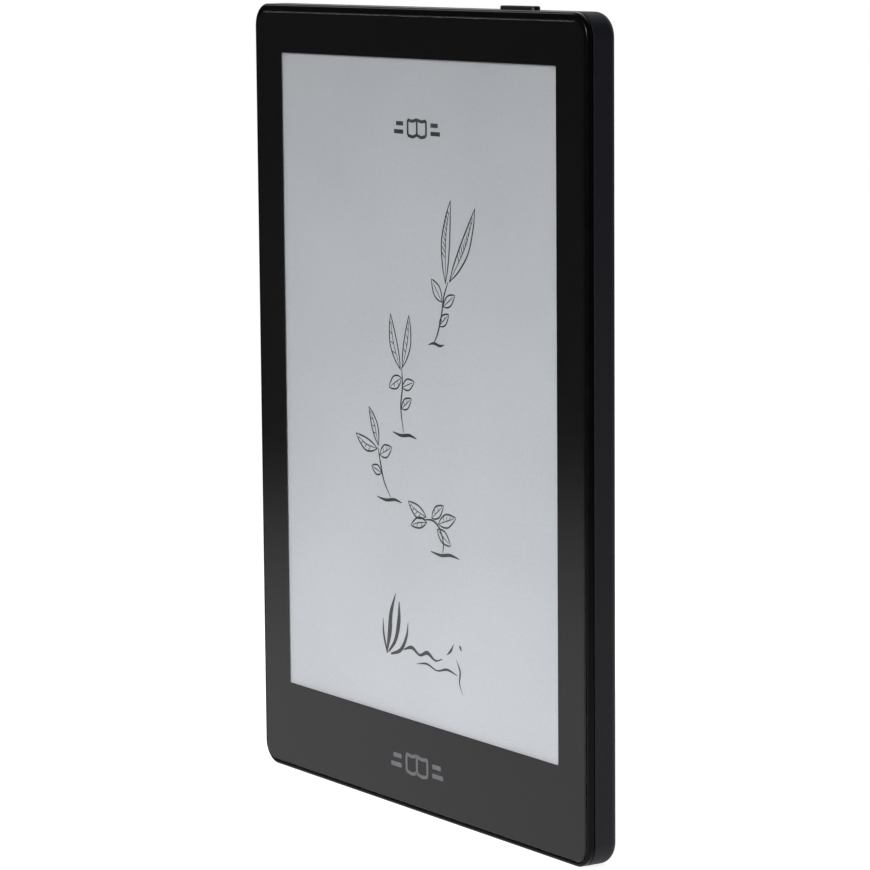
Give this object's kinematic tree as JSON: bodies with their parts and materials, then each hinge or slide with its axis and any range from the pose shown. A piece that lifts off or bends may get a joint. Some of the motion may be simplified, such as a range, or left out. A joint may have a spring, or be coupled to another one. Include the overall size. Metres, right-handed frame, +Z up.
{
  "type": "e-reader",
  "caption": "Slim upright e-reader: black-bordered front lens over an e-paper screen, front frame, rear cover and a sprung power button on the top edge.",
  "frame": {"origin": "middle of the bottom edge: mid width, mid thickness, lowest point", "axes": "+X to the right seen from the front, front faces -Y, +Z up along the height"},
  "size_m": [0.1096, 0.0068, 0.1495],
  "materials": {
    "lens": "satin hard coat, polished chamfer",
    "black_ink": "black screen-printed border",
    "tape": "black double-sided tape",
    "clear_film": "clear optical film",
    "flex": "amber polyimide flex",
    "led": "white lamp package",
    "epaper": "matte grey-white e-paper",
    "panel_glass": "thin-film transistor glass",
    "silicon": "moulded chip package",
    "foam": "black cushion foam",
    "frame_plastic": "gloss black moulding",
    "brass": "knurled insert",
    "chassis_metal": "pressed, bead blasted",
    "screw_steel": "black oxide",
    "board": "green solder mask",
    "shield_steel": "tinned sheet steel",
    "component": "ceramic capacitor",
    "socket_plastic": "ivory nylon",
    "cell_pouch": "laminated aluminium pouch",
    "pale_tape": "pale adhesive strip",
    "lead_cover": "silicone lead cover",
    "antenna_copper": "etched copper film",
    "port_steel": "drawn stainless shell",
    "port_plastic": "black moulded insert",
    "gold": "gold plated contact",
    "button_plastic": "fine satin moulding",
    "light_pipe": "clear diffusing plastic",
    "cover_plastic": "fine spark-eroded texture, charcoal"
  },
  "bodies": {
    "housing": {"cover_lens": "lens", "border_print": "black_ink", "lens_tape": "tape", "touch_sensor": "clear_film", "touch_flex": "flex", "light_guide": "clear_film", "guide_leds": "led", "guide_flex": "flex", "epaper_film": "epaper", "backplane_glass": "panel_glass", "display_driver": "silicon", "display_flex": "flex", "display_foam": "foam", "front_frame": "frame_plastic", "screw_inserts": "brass", "chassis": "chassis_metal", "chassis_screws": "screw_steel", "main_board": "board", "board_screws": "screw_steel", "processor": "silicon", "memory_chip": "silicon", "storage_chip": "silicon", "processor_shield": "shield_steel", "radio_module": "silicon", "radio_shield": "shield_steel", "power_chip": "silicon", "board_parts": "component", "sleep_sensor": "silicon", "flex_sockets": "socket_plastic", "battery_pack": "cell_pouch", "battery_tape": "pale_tape", "battery_circuit": "board", "battery_leads": "lead_cover", "battery_plug": "socket_plastic", "battery_socket": "socket_plastic", "antenna": "antenna_copper", "antenna_lead": "lead_cover", "usb_shell": "port_steel", "usb_tongue": "port_plastic", "usb_contacts": "gold", "switch_flex": "flex", "power_switch": "shield_steel", "status_led": "led", "rear_cover": "cover_plastic"},
    "button": {"power_button": "button_plastic", "button_light_pipe": "light_pipe"},
    "plunger": {"switch_plunger": "port_plastic"}
  },
  "joints": [
    {"name": "button_press", "type": "slide", "parent": "housing", "child": "button", "axis": [0, 0, -1], "range_m": [0, 0.0003], "stiffness_N_per_m": 1500},
    {"name": "switch_press", "type": "slide", "parent": "housing", "child": "plunger", "axis": [0, 0, -1], "range_m": [0, 0.0003]}
  ],
  "couplings": [
    {"joint": "switch_press", "follows": "button_press", "ratio": 1}
  ]
}
